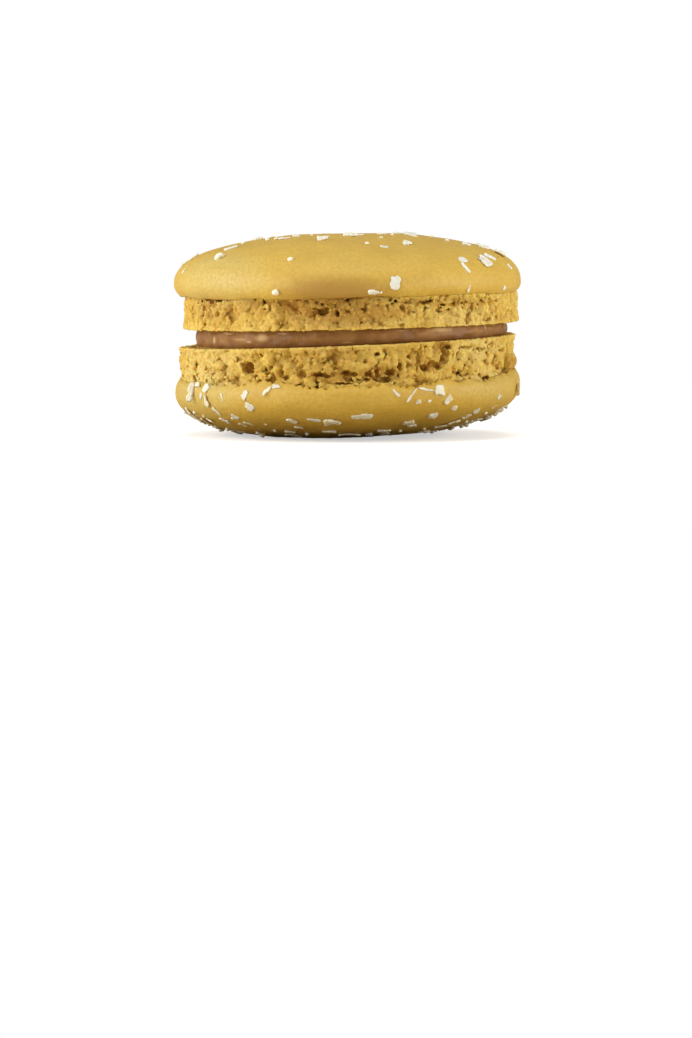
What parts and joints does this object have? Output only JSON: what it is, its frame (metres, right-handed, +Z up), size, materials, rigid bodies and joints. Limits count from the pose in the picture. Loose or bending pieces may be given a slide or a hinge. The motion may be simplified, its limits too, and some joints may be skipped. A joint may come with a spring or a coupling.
{
  "type": "sandwich macaron",
  "caption": "Round sandwich macaron: domed, smooth-topped almond shells with ruffled spongy feet, flat side to flat side around a disc of chocolate ganache.",
  "frame": {"origin": "middle of the macaron's bounding box at its lowest face, the small flat of the lower cap, on the surface it stands on", "axes": "+Z up, from the lower cap to the upper cap; -Y is the front, the side that the picture shows; +X to the right of the front, towards which the filling's floor rises"},
  "size_m": [0.046, 0.0462, 0.0268],
  "materials": {
    "upper_shell": "dry baked almond meringue, golden, with a faint soft sheen on the dome and a spongy foot",
    "filling": "moist glossy milk chocolate ganache",
    "lower_shell": "dry baked almond meringue, golden, with a faint soft sheen on the dome and a spongy foot",
    "flakes": "dry cream-white grated flakes and crumbs, slightly translucent"
  },
  "bodies": {
    "root": {"upper_shell": "upper_shell", "filling": "filling", "lower_shell": "lower_shell"}
  },
  "joints": []
}
